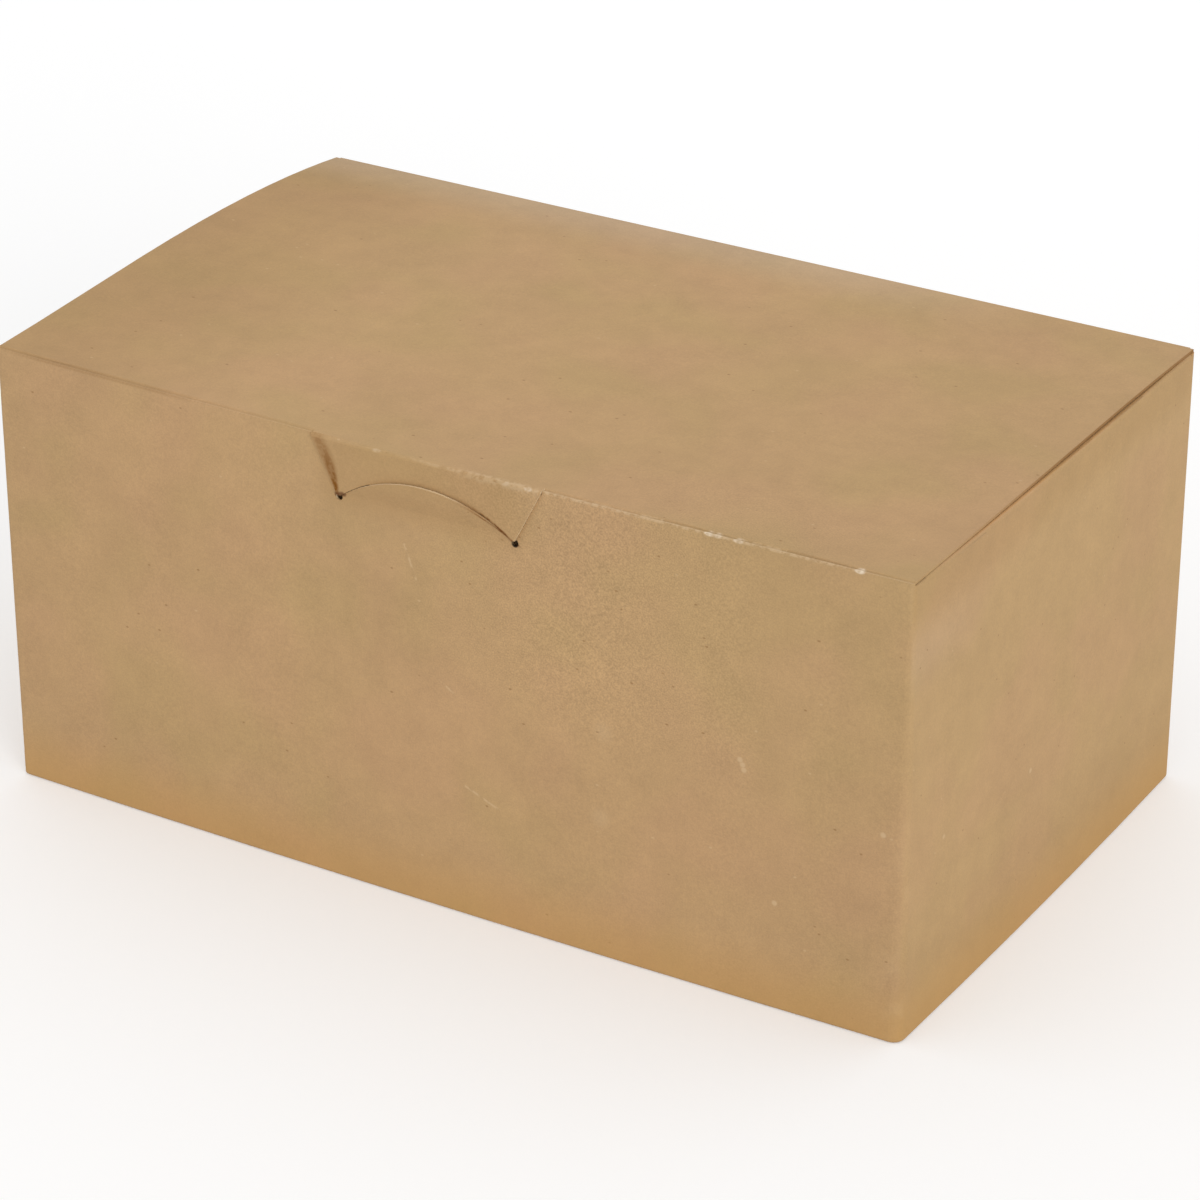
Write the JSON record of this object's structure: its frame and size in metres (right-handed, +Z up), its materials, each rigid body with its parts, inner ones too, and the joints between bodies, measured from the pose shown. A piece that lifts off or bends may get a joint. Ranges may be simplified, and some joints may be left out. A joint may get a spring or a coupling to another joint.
{
  "type": "fast food box",
  "caption": "Rectangular kraft board food box with a hinged lid whose flap tucks inside the front wall and locks there by a tongue in an arched slit.",
  "frame": {"origin": "on the floor of the box's underside, at the centre of the base outline", "axes": "+X to the right along the front, +Y from the front to the back crease, +Z up"},
  "size_m": [0.2174, 0.1306, 0.1048],
  "materials": {
    "kraft_board": "matte"
  },
  "bodies": {
    "carton": {"box_body": "kraft_board"},
    "lid": {"lid": "kraft_board"}
  },
  "joints": [
    {"name": "lid_hinge", "type": "hinge", "parent": "carton", "child": "lid", "pos_m": [0, 0.06435, 0.10175], "axis": [-1, 0, 0], "range_deg": [0, 180]}
  ]
}
